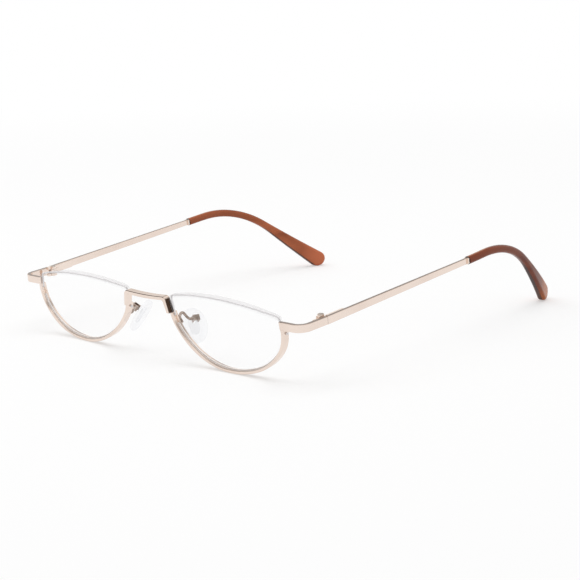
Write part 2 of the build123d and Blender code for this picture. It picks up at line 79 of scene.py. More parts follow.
class Finish(Enum):
    """The record's material slots, and the variants of them that some pieces have, which carry painted
    shade, highlights and reflections.
    """

    METAL = "metal"
    BRIDGE = "metal bridge"
    STRIP = "metal strip"
    WIRE = "metal wire"
    LENS = "lens"
    CORD = "cord"
    LINER = "liner"
    TIP = "tip"
    PAINTED_LIT_TIP = "tip light"
    PAD = "pad"
    CORE = "core"
    SCREW = "screw"


class Ray(Enum):
    """Kinds of ray that a Light Path node tells apart."""

    CAMERA = "Is Camera Ray"
    GLOSSY = "Is Glossy Ray"
    TRANSMISSION = "Is Transmission Ray"
    SHADOW = "Is Shadow Ray"
    DIFFUSE = "Is Diffuse Ray"


@dataclass
class NodeSheet:
    """Adds and links nodes in one node tree."""

    tree: bpy.types.NodeTree

    def add(self, kind: str, **settings: object) -> bpy.types.Node:
        """Add a node and set its properties.

        Args:
            kind: The node's type name.
            settings: Properties of the node, by name.

        Returns:
            The new node.
        """
        node = self.tree.nodes.new(kind)
        for name, value in settings.items():
            setattr(node, name, value)
        return node

    def link(self, source: bpy.types.NodeSocket, target: bpy.types.NodeSocket) -> None:
        """Link two sockets."""
        self.tree.links.new(source, target)

    @staticmethod
    def fill(node: bpy.types.Node, values: dict[str | int, object]) -> None:
        """Set a node's own inputs.

        Args:
            node: The node.
            values: The inputs' values, by socket name or number.
        """
        for key, value in values.items():
            node.inputs[key].default_value = value

    def any_ray(self, *rays: Ray) -> bpy.types.NodeSocket:
        """Add a mask that is 1 for any of the given rays.

        Args:
            rays: The rays that count.

        Returns:
            The socket with the mask.
        """
        path = self.add("ShaderNodeLightPath")
        mask = path.outputs[rays[0].value]
        for ray in rays[1:]:
            either = self.add("ShaderNodeMath", operation="MAXIMUM")
            self.link(mask, either.inputs[0])
            self.link(path.outputs[ray.value], either.inputs[1])
            mask = either.outputs[0]
        return mask


class SurfaceGroups:
    """Shader node groups that the finishes use."""

    SMUDGE_DETAIL = 3.0
    SMUDGE_SPAN = (0.35, 0.65)
    HAIRLINE_DETAIL = 2.0
    HAIRLINE_STRETCH = (1.0, 0.08, 1.0)
    MOTTLE_DETAIL = 2.0
    MOTTLE_DISTORTION = 0.6
    MOTTLE_MIDDLE = 0.5
    LEG_SIDES = {"From": 0.0075, "To": 0.009, "Out To": 0.0112}

    def __init__(self) -> None:
        """Build the groups once."""
        self.handling = self._handling()
        self.mottle = self._mottle()
        self.facing = self._facing()
        self.outward = self._outward()

    @staticmethod
    def _sockets(group: bpy.types.NodeTree, ins: dict[str, float], outs: dict[str, str]) -> None:
        """Give a group its named inputs and outputs.

        Args:
            group: The node group.
            ins: Default values of float inputs, by name.
            outs: Socket types of the outputs, by name.
        """
        for name, value in ins.items():
            socket = group.interface.new_socket(name, in_out="INPUT", socket_type="NodeSocketFloat")
            socket.default_value = value
        for name, kind in outs.items():
            group.interface.new_socket(name, in_out="OUTPUT", socket_type=kind)

    def _handling(self) -> bpy.types.NodeTree:
        """Build the group of smudges and hairlines that handling leaves.

        Returns:
            A group that puts out a roughness and a bump height.
        """
        group = bpy.data.node_groups.new("handling_marks", "ShaderNodeTree")
        self._sockets(
            group,
            {"Low": 0.1, "High": 0.2, "Smudge Scale": 150.0, "Hairline Scale": 900.0},
            {"Roughness": "NodeSocketFloat", "Height": "NodeSocketFloat"},
        )
        sheet = NodeSheet(group)
        given, put = sheet.add("NodeGroupInput"), sheet.add("NodeGroupOutput")
        place = sheet.add("ShaderNodeTexCoord")
        smudge = sheet.add("ShaderNodeTexNoise")
        sheet.fill(smudge, {"Detail": self.SMUDGE_DETAIL})
        stretch = sheet.add("ShaderNodeMapping")
        sheet.fill(stretch, {"Scale": self.HAIRLINE_STRETCH})
        hairline = sheet.add("ShaderNodeTexNoise")
        sheet.fill(hairline, {"Detail": self.HAIRLINE_DETAIL})
        spread = sheet.add("ShaderNodeMapRange")
        sheet.fill(spread, {"From Min": self.SMUDGE_SPAN[0], "From Max": self.SMUDGE_SPAN[1]})
        sheet.link(place.outputs["Object"], smudge.inputs["Vector"])
        sheet.link(given.outputs["Smudge Scale"], smudge.inputs["Scale"])
        sheet.link(place.outputs["Object"], stretch.inputs["Vector"])
        sheet.link(stretch.outputs["Vector"], hairline.inputs["Vector"])
        sheet.link(given.outputs["Hairline Scale"], hairline.inputs["Scale"])
        sheet.link(smudge.outputs["Fac"], spread.inputs["Value"])
        sheet.link(given.outputs["Low"], spread.inputs["To Min"])
        sheet.link(given.outputs["High"], spread.inputs["To Max"])
        sheet.link(spread.outputs["Result"], put.inputs["Roughness"])
        sheet.link(hairline.outputs["Fac"], put.inputs["Height"])
        return group

    def _facing(self) -> bpy.types.NodeTree:
        """Build the group that marks the faces whose normal lies along a fixed direction of the piece.

        Returns:
            A group that puts out a mask, 1 where the normal lies along the direction, and against it too
            where Both Ways is 1.
        """
        group = bpy.data.node_groups.new("faces_along", "ShaderNodeTree")
        self._sockets(
            group,
            {"Along X": 0.0, "Along Y": 1.0, "Along Z": 0.0, "From": 0.5, "To": 0.8, "Both Ways": 1.0},
            {"Mask": "NodeSocketFloat"},
        )
        sheet = NodeSheet(group)
        given, put = sheet.add("NodeGroupInput"), sheet.add("NodeGroupOutput")
        surface = sheet.add("ShaderNodeNewGeometry")
        way = sheet.add("ShaderNodeCombineXYZ")
        for axis in "XYZ":
            sheet.link(given.outputs["Along " + axis], way.inputs[axis])
        dot = sheet.add("ShaderNodeVectorMath", operation="DOT_PRODUCT")
        size = sheet.add("ShaderNodeMath", operation="ABSOLUTE")
        back = sheet.add("ShaderNodeMath", operation="MULTIPLY")
        either = sheet.add("ShaderNodeMath", operation="MAXIMUM")
        ramp = sheet.add("ShaderNodeMapRange", interpolation_type="SMOOTHSTEP")
        sheet.link(surface.outputs["Normal"], dot.inputs[0])
        sheet.link(way.outputs["Vector"], dot.inputs[1])
        sheet.link(dot.outputs["Value"], size.inputs[0])
        sheet.link(size.outputs[0], back.inputs[0])
        sheet.link(given.outputs["Both Ways"], back.inputs[1])
        sheet.link(dot.outputs["Value"], either.inputs[0])
        sheet.link(back.outputs[0], either.inputs[1])
        sheet.link(either.outputs[0], ramp.inputs["Value"])
        sheet.link(given.outputs["From"], ramp.inputs["From Min"])
        sheet.link(given.outputs["To"], ramp.inputs["From Max"])
        sheet.link(ramp.outputs["Result"], put.inputs["Mask"])
        return group

    def _outward(self) -> bpy.types.NodeTree:
        """Build the group that marks the faces that look away from the middle of the glasses, near the nose,
        where the bridge gets painted shade.

        Returns:
            A group that puts out a mask.
        """
        group = bpy.data.node_groups.new("leg_sides", "ShaderNodeTree")
        self._sockets(group, self.LEG_SIDES, {"Mask": "NodeSocketFloat"})
        sheet = NodeSheet(group)
        given, put = sheet.add("NodeGroupInput"), sheet.add("NodeGroupOutput")
        surface, place = sheet.add("ShaderNodeNewGeometry"), sheet.add("ShaderNodeTexCoord")
        normal, spot = sheet.add("ShaderNodeSeparateXYZ"), sheet.add("ShaderNodeSeparateXYZ")
        product = sheet.add("ShaderNodeMath", operation="MULTIPLY")
        reach = sheet.add("ShaderNodeMath", operation="ABSOLUTE")
        near = sheet.add("ShaderNodeMath", operation="LESS_THAN")
        ramp = sheet.add("ShaderNodeMapRange")
        both = sheet.add("ShaderNodeMath", operation="MULTIPLY")
        sheet.link(surface.outputs["Normal"], normal.inputs[0])
        sheet.link(place.outputs["Object"], spot.inputs[0])
        sheet.link(normal.outputs["X"], product.inputs[0])
        sheet.link(spot.outputs["X"], product.inputs[1])
        sheet.link(spot.outputs["X"], reach.inputs[0])
        sheet.link(reach.outputs[0], near.inputs[0])
        sheet.link(given.outputs["Out To"], near.inputs[1])
        sheet.link(product.outputs[0], ramp.inputs["Value"])
        sheet.link(given.outputs["From"], ramp.inputs["From Min"])
        sheet.link(given.outputs["To"], ramp.inputs["From Max"])
        sheet.link(ramp.outputs["Result"], both.inputs[0])
        sheet.link(near.outputs[0], both.inputs[1])
        sheet.link(both.outputs[0], put.inputs["Mask"])
        return group

    def _mottle(self) -> bpy.types.NodeTree:
        """Build the group of slow colour change inside a moulded or plated piece.

        Returns:
            A group that puts out a mask between two colours.
        """
        group = bpy.data.node_groups.new("slow_mottle", "ShaderNodeTree")
        self._sockets(
            group,
            {"Scale": 60.0, "Contrast": 1.0, "Stretch X": 1.0, "Stretch Y": 1.0, "Stretch Z": 1.0},
            {"Mask": "NodeSocketFloat"},
        )
        sheet = NodeSheet(group)
        given, put = sheet.add("NodeGroupInput"), sheet.add("NodeGroupOutput")
        place = sheet.add("ShaderNodeTexCoord")
        cloud = sheet.add("ShaderNodeTexNoise")
        sheet.fill(cloud, {"Detail": self.MOTTLE_DETAIL, "Distortion": self.MOTTLE_DISTORTION})
        middle = sheet.add("ShaderNodeMath", operation="SUBTRACT")
        sheet.fill(middle, {1: self.MOTTLE_MIDDLE})
        steep = sheet.add("ShaderNodeMath", operation="MULTIPLY_ADD", use_clamp=True)
        sheet.fill(steep, {2: self.MOTTLE_MIDDLE})
        stretch = sheet.add("ShaderNodeCombineXYZ")
        for axis in "XYZ":
            sheet.link(given.outputs["Stretch " + axis], stretch.inputs[axis])
        drawn = sheet.add("ShaderNodeVectorMath", operation="MULTIPLY")
        sheet.link(place.outputs["Object"], drawn.inputs[0])
        sheet.link(stretch.outputs["Vector"], drawn.inputs[1])
        sheet.link(drawn.outputs["Vector"], cloud.inputs["Vector"])
        sheet.link(given.outputs["Scale"], cloud.inputs["Scale"])
        sheet.link(cloud.outputs["Fac"], middle.inputs[0])
        sheet.link(middle.outputs[0], steep.inputs[0])
        sheet.link(given.outputs["Contrast"], steep.inputs[1])
        sheet.link(steep.outputs[0], put.inputs["Mask"])
        return group


@dataclass(frozen=True)
class PaintedTone:
    """Painted light or shade: the colour of a piece's faces that look one way, standing for shade, a
    highlight or a dark reflection, from a start to full cover by the angle's cosine.
    """

    colour: Colour
    way: Triple
    start: float
    full: float


@dataclass(frozen=True)
class SurfaceFinish:
    """One finish: its colours, gloss, handling marks, how much light it lets through, and any painted shade,
    highlights or glow.
    """

    name: str
    light: Colour
    dark: Colour
    low_roughness: float
    high_roughness: float
    metallic: float = 0.0
    specular: float = 0.5
    alpha: float = 1.0
    mottle_scale: float = 60.0
    mottle_contrast: float = 2.0
    mottle_stretch: Triple = (1.0, 1.0, 1.0)
    smudge_scale: float = 150.0
    bump_distance: float = 0.00001
    clear_shadow: float = 0.0
    edge_colour: Optional[Colour] = None
    edge_alpha: float = 1.0
    edge_above: tuple[float, float] = (-2.0, -1.0)
    face_way: Triple = (0.0, 1.0, 0.0)
    face_from: float = 0.5
    face_to: float = 0.85
    crest_middle: float = 0.030868
    crest_height: float = 0.024772
    crest_curve: float = 5.3006
    crest_depth: tuple[float, float] = (0.0016, 0.0006)
    seat_shade_colour: Optional[Colour] = None
    painted_tones: tuple[PaintedTone, ...] = ()
    thin_glow_colour: Optional[Colour] = None
    thin_from: float = 0.0
    thin_to: float = 1.0

    @staticmethod
    def _mixed(
        sheet: NodeSheet, mask: bpy.types.NodeSocket, under: bpy.types.NodeSocket, over: Colour
    ) -> bpy.types.NodeSocket:
        """Lay a plain colour over another one where a mask says so.

        Args:
            sheet: The material's nodes.
            mask: Where the plain colour shows.
            under: The colour below it.
            over: The plain colour.

        Returns:
            The mixed colour.
        """
        mix = sheet.add("ShaderNodeMix", data_type="RGBA")
        ins = [s for s in mix.inputs if s.type == "RGBA"]
        ins[1].default_value = (*over, 1.0)
        sheet.link(mask, mix.inputs["Factor"])
        sheet.link(under, ins[0])
        return next(s for s in mix.outputs if s.type == "RGBA")

    @staticmethod
    def _faces(
        sheet: NodeSheet, groups: SurfaceGroups, way: Triple, start: float, full: float
    ) -> bpy.types.Node:
        """Mark the faces that look along a direction.

        Args:
            sheet: The material's nodes.
            groups: The shared node groups.
            way: The direction.
            start: The cosine of the angle to it at which the mask starts.
            full: The cosine at which the mask is 1.

        Returns:
            The node with the mask.
        """
        facing = sheet.add("ShaderNodeGroup", node_tree=groups.facing)
        sheet.fill(facing, {"Along " + axis: share for axis, share in zip("XYZ", way)})
        sheet.fill(facing, {"From": start, "To": full})
        return facing

    def _painted_light(
        self, sheet: NodeSheet, groups: SurfaceGroups, colour: bpy.types.NodeSocket
    ) -> bpy.types.NodeSocket:
        """Paint shade, highlights and dark reflections on a piece by the way that its faces look, and paint
        a glow of light through its thin end.

        Args:
            sheet: The material's nodes.
            groups: The shared node groups.
            colour: The colour of the material.

        Returns:
            The colour of the whole surface.
        """
        # Painted glow: lighter towards the thin end, as if light shone through it.
        if self.thin_glow_colour:
            place = sheet.add("ShaderNodeTexCoord")
            split = sheet.add("ShaderNodeSeparateXYZ")
            reach = sheet.add("ShaderNodeMapRange", interpolation_type="SMOOTHSTEP")
            sheet.fill(reach, {"From Min": self.thin_from, "From Max": self.thin_to})
            sheet.link(place.outputs["Object"], split.inputs[0])
            sheet.link(split.outputs["Y"], reach.inputs["Value"])
            colour = self._mixed(sheet, reach.outputs["Result"], colour, self.thin_glow_colour)
        # Painted shade, highlights and reflections on the faces that look one way.
        for tone in self.painted_tones:
            facing = self._faces(sheet, groups, tone.way, tone.start, tone.full)
            sheet.fill(facing, {"Both Ways": 0.0})
            colour = self._mixed(sheet, facing.outputs["Mask"], colour, tone.colour)
        return colour

    def _edges(
        self, sheet: NodeSheet, groups: SurfaceGroups, body: bpy.types.Node, colour: bpy.types.NodeSocket
    ) -> bpy.types.NodeSocket:
        """Give the ground edges of a clear piece their own colour and density.

        Args:
            sheet: The material's nodes.
            groups: The shared node groups.
            body: The material's main shader.
            colour: The colour of the polished faces.

        Returns:
            The colour of the whole surface.
        """
        facing = self._faces(sheet, groups, self.face_way, self.face_from, self.face_to)
        place = sheet.add("ShaderNodeTexCoord")
        split = sheet.add("ShaderNodeSeparateXYZ")
        below = sheet.add("ShaderNodeMapRange")
        sheet.fill(below, {"From Min": self.edge_above[0], "From Max": self.edge_above[1]})
        sheet.fill(below, {"To Min": 1.0, "To Max": 0.0})
        clear = sheet.add("ShaderNodeMath", operation="MAXIMUM")
        sheet.link(place.outputs["Object"], split.inputs[0])
        sheet.link(split.outputs["Z"], below.inputs["Value"])
        sheet.link(facing.outputs["Mask"], clear.inputs[0])
        sheet.link(below.outputs["Result"], clear.inputs[1])
        clear = self._under_crest(sheet, split, clear)
        density = sheet.add("ShaderNodeMapRange")
        sheet.fill(density, {"To Min": self.edge_alpha, "To Max": self.alpha})
        sheet.link(clear.outputs[0], density.inputs["Value"])
        sheet.link(density.outputs["Result"], body.inputs["Alpha"])
        tint = sheet.add("ShaderNodeMix", data_type="RGBA")
        ins = [s for s in tint.inputs if s.type == "RGBA"]
        ins[0].default_value = (*self.edge_colour, 1.0)
        sheet.link(clear.outputs[0], tint.inputs["Factor"])
        sheet.link(colour, ins[1])
        return next(s for s in tint.outputs if s.type == "RGBA")

    def _under_crest(
        self, sheet: NodeSheet, split: bpy.types.Node, clear: bpy.types.Node
    ) -> bpy.types.Node:
        """Take the ground haze over the whole groove along a clear piece's top edge.

        Args:
            sheet: The material's nodes.
            split: The node that puts out the place's parts.
            clear: The node with the mask of the clear faces.

        Returns:
            The node with the mask, clear only away from the top edge.
        """
        side = sheet.add("ShaderNodeMath", operation="ABSOLUTE")
        off = sheet.add("ShaderNodeMath", operation="SUBTRACT")
        sheet.fill(off, {1: self.crest_middle})
        square = sheet.add("ShaderNodeMath", operation="POWER")
        sheet.fill(square, {1: 2.0})
        drop = sheet.add("ShaderNodeMath", operation="MULTIPLY_ADD")
        sheet.fill(drop, {1: self.crest_curve})
        depth = sheet.add("ShaderNodeMapRange", interpolation_type="SMOOTHSTEP")
        low, high = (self.crest_height - below for below in self.crest_depth)
        sheet.fill(depth, {"From Min": low, "From Max": high, "To Min": 1.0, "To Max": 0.0})
        both = sheet.add("ShaderNodeMath", operation="MULTIPLY")
        sheet.link(split.outputs["X"], side.inputs[0])
        sheet.link(side.outputs[0], off.inputs[0])
        sheet.link(off.outputs[0], square.inputs[0])
        sheet.link(square.outputs[0], drop.inputs[0])
        sheet.link(split.outputs["Z"], drop.inputs[2])
        sheet.link(drop.outputs[0], depth.inputs["Value"])
        sheet.link(clear.outputs[0], both.inputs[0])
        sheet.link(depth.outputs["Result"], both.inputs[1])
        return both

    def _seat_shade(
        self, sheet: NodeSheet, groups: SurfaceGroups, colour: bpy.types.NodeSocket
    ) -> bpy.types.NodeSocket:
        """Paint shade and dark reflection on the sides of the bridge legs that lie against the lens edges.

        Args:
            sheet: The material's nodes.
            groups: The shared node groups.
            colour: The colour of the plating.

        Returns:
            The colour of the whole surface.
        """
        outward = sheet.add("ShaderNodeGroup", node_tree=groups.outward)
        return self._mixed(sheet, outward.outputs["Mask"], colour, self.seat_shade_colour)

    def build(self, groups: SurfaceGroups) -> bpy.types.Material:
        """Build the material.

        Args:
            groups: The shared node groups.

        Returns:
            The material.
        """
        material = bpy.data.materials.new(self.name)
        material.use_nodes = True
        tree = material.node_tree
        tree.nodes.clear()
        sheet = NodeSheet(tree)
        out = sheet.add("ShaderNodeOutputMaterial")
        body = sheet.add("ShaderNodeBsdfPrincipled")
        sheet.fill(body, {"Metallic": self.metallic, "IOR": REFRACTION})
        sheet.fill(body, {"Specular IOR Level": self.specular, "Alpha": self.alpha})
        marks = sheet.add("ShaderNodeGroup", node_tree=groups.handling)
        sheet.fill(marks, {"Low": self.low_roughness, "High": self.high_roughness})
        sheet.fill(marks, {"Smudge Scale": self.smudge_scale})
        sheet.link(marks.outputs["Roughness"], body.inputs["Roughness"])
        bump = sheet.add("ShaderNodeBump")
        sheet.fill(bump, {"Strength": BUMP_STRENGTH, "Distance": self.bump_distance})
        sheet.link(marks.outputs["Height"], bump.inputs["Height"])
        sheet.link(bump.outputs["Normal"], body.inputs["Normal"])
        mottle = sheet.add("ShaderNodeGroup", node_tree=groups.mottle)
        sheet.fill(mottle, {"Scale": self.mottle_scale, "Contrast": self.mottle_contrast})
        sheet.fill(mottle, {"Stretch " + axis: share for axis, share in zip("XYZ", self.mottle_stretch)})
        mixed = sheet.add("ShaderNodeMix", data_type="RGBA")
        ends = [s for s in mixed.inputs if s.type == "RGBA"]
        ends[0].default_value = (*self.dark, 1.0)
        ends[1].default_value = (*self.light, 1.0)
        sheet.link(mottle.outputs["Mask"], mixed.inputs["Factor"])
        colour = next(s for s in mixed.outputs if s.type == "RGBA")
        if self.edge_colour:
            colour = self._edges(sheet, groups, body, colour)
        if self.seat_shade_colour:
            colour = self._seat_shade(sheet, groups, colour)
        colour = self._painted_light(sheet, groups, colour)
        sheet.link(colour, body.inputs["Base Color"])
        surface = body.outputs["BSDF"]
        if self.clear_shadow:
            surface = self._see_through_shadow(sheet, surface)
        sheet.link(surface, out.inputs["Surface"])
        return material

    def _see_through_shadow(
        self, sheet: NodeSheet, surface: bpy.types.NodeSocket
    ) -> bpy.types.NodeSocket:
        """Let most light through the piece on its way to the floor.

        Args:
            sheet: The material's nodes.
            surface: The finished shader.

        Returns:
            The shader to put out.
        """
        clear = sheet.add("ShaderNodeBsdfTransparent")
        share = sheet.add("ShaderNodeMath", operation="MULTIPLY")
        sheet.link(sheet.any_ray(Ray.SHADOW, Ray.DIFFUSE), share.inputs[0])
        sheet.fill(share, {1: self.clear_shadow})
        mix = sheet.add("ShaderNodeMixShader")
        sheet.link(share.outputs[0], mix.inputs[0])
        sheet.link(surface, mix.inputs[1])
        sheet.link(clear.outputs[0], mix.inputs[2])
        return mix.outputs[0]


PLATING = SurfaceFinish(
    name="rose_gold_plating", light=(0.88, 0.76, 0.68), dark=(0.80, 0.67, 0.59),
    low_roughness=0.10, high_roughness=0.22, metallic=1.0, smudge_scale=220.0,
    mottle_contrast=1.6, bump_distance=0.000004,
)
ACETATE = SurfaceFinish(
    name="brown_acetate", light=(0.27, 0.075, 0.038), dark=(0.115, 0.030, 0.021),
    low_roughness=0.14, high_roughness=0.24, specular=0.10,
    mottle_scale=120.0, mottle_contrast=2.3, mottle_stretch=(1.0, 0.10, 0.9),
    # The thin end gets a painted glow of light shining through it.
    bump_distance=0.000002, thin_glow_colour=(0.52, 0.15, 0.045), thin_from=0.060, thin_to=0.0715,
    # Painted light: dark reflection where the top tilts back, a tan highlight where it tilts forward, shade
    # on the lower front faces.
    painted_tones=(
        PaintedTone((0.055, 0.010, 0.006), (0.0, 0.50, 0.866), 0.80, 0.96),
        PaintedTone((0.50, 0.22, 0.11), (0.0, -0.42, 0.907), 0.88, 0.98),
        PaintedTone((0.008, 0.003, 0.002), (0.0, -0.90, -0.436), 0.80, 0.96),
    ),
)
FINISHES: dict[Finish, SurfaceFinish] = {
    Finish.METAL: PLATING,
    # Painted shade and dark reflection: on the leg sides against the lens edges, and a dark line along the
    # bar's front top edge.
    Finish.BRIDGE: replace(
        PLATING, name="rose_gold_bridge", seat_shade_colour=(0.065, 0.040, 0.028),
        painted_tones=(PaintedTone((0.05, 0.033, 0.025), (0.0, -0.66, 0.751), 0.80, 0.92),),
    ),
    # Painted dark reflection along the top faces of the temples and endpieces.
    Finish.STRIP: replace(
        PLATING, name="rose_gold_strip",
        painted_tones=(PaintedTone((0.20, 0.15, 0.125), (0.0, -0.06, 0.998), 0.88, 0.98),),
    ),
    # A darker copy of the plating for the pad arms and boxes, painted as dark reflection, its strong mottle
    # painting spots of highlight.
    Finish.WIRE: replace(
        PLATING, name="rose_gold_wire_painted_dark", light=(0.66, 0.56, 0.50), dark=(0.30, 0.235, 0.20),
        low_roughness=0.14, high_roughness=0.26, mottle_scale=600.0, mottle_contrast=3.0,
    ),
    Finish.LENS: SurfaceFinish(
        name="lens_resin", light=(0.97, 0.98, 0.99), dark=(0.95, 0.96, 0.97),
        low_roughness=0.02, high_roughness=0.03, alpha=0.015, edge_alpha=0.16,
        edge_colour=(0.70, 0.67, 0.68), edge_above=(0.0165, 0.0185), face_way=(0.0207, -0.99, -0.139),
        face_from=0.35, face_to=0.75, specular=0.15, bump_distance=0.0000001, clear_shadow=0.9,
    ),
    Finish.CORD: SurfaceFinish(
        name="nylon_line", light=(0.95, 0.93, 0.94), dark=(0.91, 0.89, 0.90),
        low_roughness=0.30, high_roughness=0.40, specular=0.2, clear_shadow=0.8,
    ),
    Finish.LINER: SurfaceFinish(
        name="nylon_strip", light=(0.96, 0.90, 0.86), dark=(0.92, 0.85, 0.81),
        low_roughness=0.20, high_roughness=0.30, specular=0.2, clear_shadow=0.7,
    ),
    Finish.TIP: ACETATE,
    # A lighter copy of the same acetate for the far (right) tip: painted light.
    Finish.PAINTED_LIT_TIP: replace(
        ACETATE, name="brown_acetate_painted_lit", light=(0.56, 0.165, 0.075), dark=(0.25, 0.068, 0.03),
        thin_glow_colour=(0.62, 0.18, 0.085),
    ),
    Finish.PAD: SurfaceFinish(
        name="clear_silicone", light=(0.80, 0.83, 0.94), dark=(0.70, 0.74, 0.90),
        low_roughness=0.20, high_roughness=0.34, alpha=0.065, specular=0.35, clear_shadow=0.8,
    ),
    Finish.CORE: SurfaceFinish(
        name="clear_core_plate", light=(0.84, 0.84, 0.88), dark=(0.78, 0.78, 0.83),
        low_roughness=0.08, high_roughness=0.16, alpha=0.02, specular=0.1, clear_shadow=0.75,
    ),
    Finish.SCREW: SurfaceFinish(
        name="turned_steel", light=(0.72, 0.66, 0.61), dark=(0.52, 0.47, 0.43),
        low_roughness=0.18, high_roughness=0.32, metallic=1.0,
    ),
}


@dataclass
class Assembly:
    """A group of solids, some single and some on both sides."""

    shared: tuple[str, ...] = ()
    sided: tuple[str, ...] = ()

    def nodes(self) -> list[str]:
        """The names of the assembly's solids."""
        return [*self.shared, *(f"{side}_{name}" for name in self.sided for side in SIDES)]


@dataclass
class FrameFront(Assembly):
    """The bridge, rims, lenses and what is brazed or screwed to them."""

    shared: tuple[str, ...] = ("bridge",)
    sided: tuple[str, ...] = (
        "rim", "rim_liner", "lens", "lens_cord", "endpiece", "front_hinge", "hinge_screw",
        "pad_arm", "pad_box", "pad_screw",
    )


@dataclass
class Temples(Assembly):
    """The temples: their strips, hinge leaves and sleeves."""

    sided: tuple[str, ...] = ("temple", "temple_hinge", "temple_tip")


@dataclass
class NosePads(Assembly):
    """The nose pads and the core plates moulded into them."""

    sided: tuple[str, ...] = ("nose_pad", "pad_core")


@dataclass
class Dresser:
    """Gives every solid its finish."""

    frame: dict
    materials: dict[Finish, bpy.types.Material]
    own_finish: dict[str, Finish] = field(
        default_factory=lambda: {
            "bridge": Finish.BRIDGE, "temple": Finish.STRIP, "endpiece": Finish.STRIP,
            "pad_arm": Finish.WIRE, "pad_box": Finish.WIRE, "right_temple_tip": Finish.PAINTED_LIT_TIP,
        }
    )

    def dress(self, assembly: Assembly) -> None:
        """Dress one assembly.

        Args:
            assembly: The assembly whose solids are dressed.
        """
        slots = {s["node"]: Finish(s["material_slot"]) for s in self.frame["record"]["subparts"]}
        for name in assembly.nodes():
            piece = self.frame["nodes"][name]
            piece.data.materials.clear()
            either_side = self.own_finish.get(name.split("_", 1)[-1], slots[name])
            finish = self.own_finish.get(name, either_side)
            piece.data.materials.append(self.materials[finish])
            LOG.info("%s dressed in %s", name, slots[name].value)


@dataclass
class SlottedScrew:
    """A turned screw with a low domed head and a slot, made round a joint's own axis."""

    node: str
    joint: str
    shank_radius: float = 0.0006
    head_radius: float = 0.00095
    rim_height: float = 0.00018
    dome_height: float = 0.00012
    slot_width: float = 0.00025
    slot_depth: float = 0.00018
    sides: int = 40

    LENGTHS = (
        "Shank Radius", "Length", "Head Radius", "Rim Height", "Dome Height", "Slot Width", "Slot Depth",
    )
    DOME_RINGS = 12
    CUTTER_REACH = 3.0

    @classmethod
    def tree(cls) -> bpy.types.GeometryNodeTree:
        """Build the tree that turns the shank and head and cuts the slot.

        Returns:
            The node tree, its head above the origin and its shank below.
        """
        tree = bpy.data.node_groups.new("slotted_screw", "GeometryNodeTree")
        for name in cls.LENGTHS:
            tree.interface.new_socket(name, in_out="INPUT", socket_type="NodeSocketFloat")
        tree.interface.new_socket("Sides", in_out="INPUT", socket_type="NodeSocketInt")
        tree.interface.new_socket("Finish", in_out="INPUT", socket_type="NodeSocketMaterial")
        tree.interface.new_socket("Geometry", in_out="OUTPUT", socket_type="NodeSocketGeometry")
        sheet = NodeSheet(tree)
        given, put = sheet.add("NodeGroupInput"), sheet.add("NodeGroupOutput")

        def worked(operation: str, first: object, second: object) -> bpy.types.NodeSocket:
            """Work out one value from two, each a socket or a number."""
            step = sheet.add("ShaderNodeMath", operation=operation)
            for value, socket in zip((first, second), step.inputs):
                if isinstance(value, float):
                    socket.default_value = value
                else:
                    sheet.link(value, socket)
            return step.outputs[0]

        def vector(**parts: bpy.types.NodeSocket) -> bpy.types.NodeSocket:
            """Put sockets together into one vector."""
            node = sheet.add("ShaderNodeCombineXYZ")
            for axis, value in parts.items():
                sheet.link(value, node.inputs[axis])
            return node.outputs[0]

        def turned(radius: bpy.types.NodeSocket, low: object, high: object) -> bpy.types.NodeSocket:
            """Turn a plain rod from one height to another."""
            rod = sheet.add("GeometryNodeMeshCylinder")
            sheet.link(given.outputs["Sides"], rod.inputs["Vertices"])
            sheet.link(radius, rod.inputs["Radius"])
            sheet.link(worked("SUBTRACT", high, low), rod.inputs["Depth"])
            lift = sheet.add("GeometryNodeTransform")
            middle = worked("MULTIPLY", worked("ADD", high, low), 0.5)
            sheet.link(rod.outputs["Mesh"], lift.inputs["Geometry"])
            sheet.link(vector(Z=middle), lift.inputs["Translation"])
            return lift.outputs["Geometry"]

        rim = given.outputs["Rim Height"]
        top = worked("ADD", rim, given.outputs["Dome Height"])
        foot = worked("MULTIPLY", given.outputs["Length"], -1.0)
        shank = turned(given.outputs["Shank Radius"], foot, worked("MULTIPLY", rim, 0.5))
        head = turned(given.outputs["Head Radius"], 0.0, rim)
        dome = sheet.add("GeometryNodeMeshUVSphere")
        sheet.link(given.outputs["Sides"], dome.inputs["Segments"])
        sheet.fill(dome, {"Rings": cls.DOME_RINGS, "Radius": 1.0})
        crown = sheet.add("GeometryNodeTransform")
        sheet.link(dome.outputs["Mesh"], crown.inputs["Geometry"])
        across = given.outputs["Head Radius"]
        sheet.link(vector(X=across, Y=across, Z=given.outputs["Dome Height"]), crown.inputs["Scale"])
        sheet.link(vector(Z=rim), crown.inputs["Translation"])
        joined = sheet.add("GeometryNodeMeshBoolean", operation="UNION")
        for part in (shank, head, crown.outputs["Geometry"]):
            sheet.link(part, joined.inputs["Mesh 2"])
        cutter = sheet.add("GeometryNodeMeshCube")
        # The cutter's middle is at the dome's top, so it is twice as tall as the slot is deep.
        deep = worked("MULTIPLY", given.outputs["Slot Depth"], 2.0)
        long = worked("MULTIPLY", across, cls.CUTTER_REACH)
        sheet.link(vector(X=long, Y=given.outputs["Slot Width"], Z=deep), cutter.inputs["Size"])
        sunk = sheet.add("GeometryNodeTransform")
        sheet.link(cutter.outputs["Mesh"], sunk.inputs["Geometry"])
        sheet.link(vector(Z=top), sunk.inputs["Translation"])
        slotted = sheet.add("GeometryNodeMeshBoolean", operation="DIFFERENCE")
        sheet.link(joined.outputs["Mesh"], slotted.inputs["Mesh 1"])
        sheet.link(sunk.outputs["Geometry"], slotted.inputs["Mesh 2"])
        real = sheet.add("GeometryNodeRealizeInstances")
        finish = sheet.add("GeometryNodeSetMaterial")
        sheet.link(slotted.outputs["Mesh"], real.inputs["Geometry"])
        sheet.link(real.outputs["Geometry"], finish.inputs["Geometry"])
        sheet.link(given.outputs["Finish"], finish.inputs["Material"])
        sheet.link(finish.outputs["Geometry"], put.inputs["Geometry"])
        return tree

